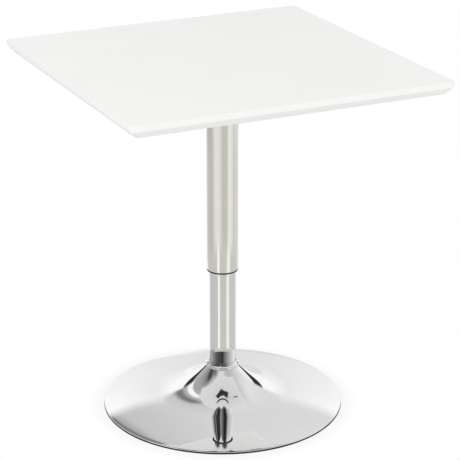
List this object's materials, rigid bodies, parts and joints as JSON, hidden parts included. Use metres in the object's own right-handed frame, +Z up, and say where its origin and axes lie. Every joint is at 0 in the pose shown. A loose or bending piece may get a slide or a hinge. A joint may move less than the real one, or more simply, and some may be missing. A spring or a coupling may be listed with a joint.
{
  "type": "bistro table",
  "caption": "Square white bistro table with an undercut edge, height-adjustable gas-lift column and a polished trumpet base.",
  "frame": {"origin": "on the floor under the middle of the column, at the centre of the base's footprint", "axes": "+Z up along the column, X and Y along the sides of the top, release lever towards +X"},
  "size_m": [0.6, 0.6, 0.67],
  "materials": {
    "chrome": "mirror polished chrome plate",
    "sleeve_steel": "satin plated steel",
    "white_lacquer": "white lacquered fibreboard, satin",
    "black_plastic": "moulded, fine grain",
    "bush_plastic": "natural nylon",
    "black_rubber": "matt moulded rubber",
    "black_steel": "black powder coat",
    "ballast_iron": "dark primed iron",
    "zinc_steel": "zinc plated",
    "ground_steel": "ground and oiled steel",
    "brass_insert": "turned brass"
  },
  "bodies": {
    "base": {"base_dish": "chrome", "neck_collar": "chrome", "floor_ring": "black_rubber", "hub_socket": "black_steel", "hub_gussets": "black_steel", "ballast_plate": "ballast_iron", "ballast_bolts": "zinc_steel", "ballast_nuts": "zinc_steel", "lower_tube": "chrome", "guide_bush": "bush_plastic", "tube_end_plate": "ground_steel", "lower_race": "ground_steel"},
    "swivel": {"piston_rod": "ground_steel", "rod_clip": "zinc_steel", "upper_race": "ground_steel", "bearing_balls": "ground_steel", "ball_cage": "bush_plastic", "bump_stop": "black_rubber", "piston": "ground_steel", "piston_ring": "black_rubber"},
    "lift": {"gas_cylinder": "black_steel", "rod_guide": "ground_steel", "column_sleeve": "sleeve_steel", "guide_ring": "black_plastic", "sleeve_cap": "black_plastic", "taper_socket": "black_steel", "lever_housing": "black_steel", "mount_plate": "black_steel", "plate_screws": "zinc_steel", "screw_washers": "zinc_steel", "threaded_inserts": "brass_insert", "table_top": "white_lacquer", "pivot_pin": "ground_steel", "pin_clips": "zinc_steel"},
    "lever": {"release_lever": "zinc_steel", "lever_grip": "black_plastic"},
    "valve": {"valve_button": "ground_steel"}
  },
  "joints": [
    {"name": "top_swivel", "type": "hinge", "parent": "base", "child": "swivel", "pos_m": [0, 0, 0.04], "axis": [0, 0, 1], "continuous": true},
    {"name": "height_slide", "type": "slide", "parent": "swivel", "child": "lift", "axis": [0, 0, 1], "range_m": [0, 0.22]},
    {"name": "lever_pull", "type": "hinge", "parent": "lift", "child": "lever", "pos_m": [0.02, 0, 0.632], "axis": [0, -1, 0], "range_deg": [0, 6], "stiffness_Nm_per_rad": 2},
    {"name": "valve_press", "type": "slide", "parent": "lift", "child": "valve", "axis": [0, 0, -1], "range_m": [0, 0.0022]}
  ],
  "couplings": [
    {"joint": "valve_press", "follows": "lever_pull", "m_per_rad": 0.02}
  ]
}
